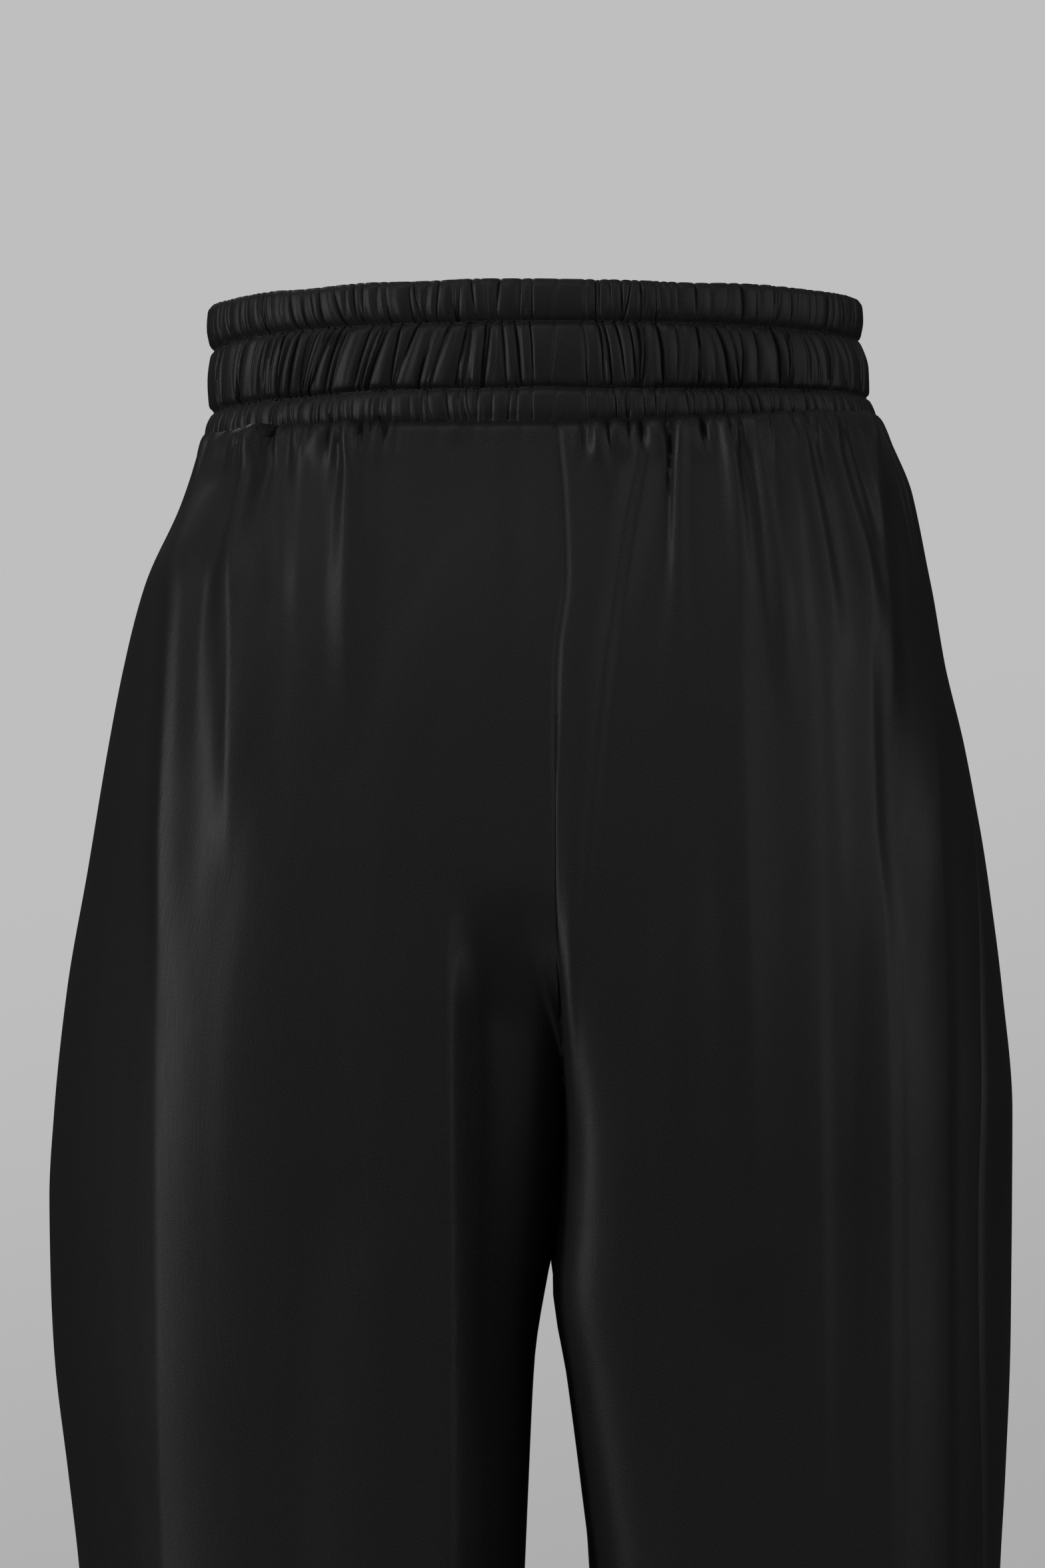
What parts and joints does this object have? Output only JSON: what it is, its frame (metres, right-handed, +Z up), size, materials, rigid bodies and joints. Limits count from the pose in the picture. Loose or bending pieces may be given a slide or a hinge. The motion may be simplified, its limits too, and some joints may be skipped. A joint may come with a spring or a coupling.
{
  "type": "drawstring trousers",
  "caption": "Worn wide-leg satin trousers hung from a gathered waistband of three stitched channels, open at the waist and both hems.",
  "frame": {"origin": "middle of the waist, at half the height of the waistband", "axes": "+Z up along the body, -Y towards the front of the garment, +X towards the garment's own left side"},
  "size_m": [0.3682, 0.2375, 1.0469],
  "materials": {
    "satin": "black crepe-backed satin with a soft sheen",
    "thread": "black sewing thread"
  },
  "bodies": {
    "root": {"waistband": "satin", "back_left": "satin", "back_right": "satin", "front_left": "satin", "front_right": "satin", "cord_hole_left": "thread", "cord_hole_right": "thread"}
  },
  "joints": []
}
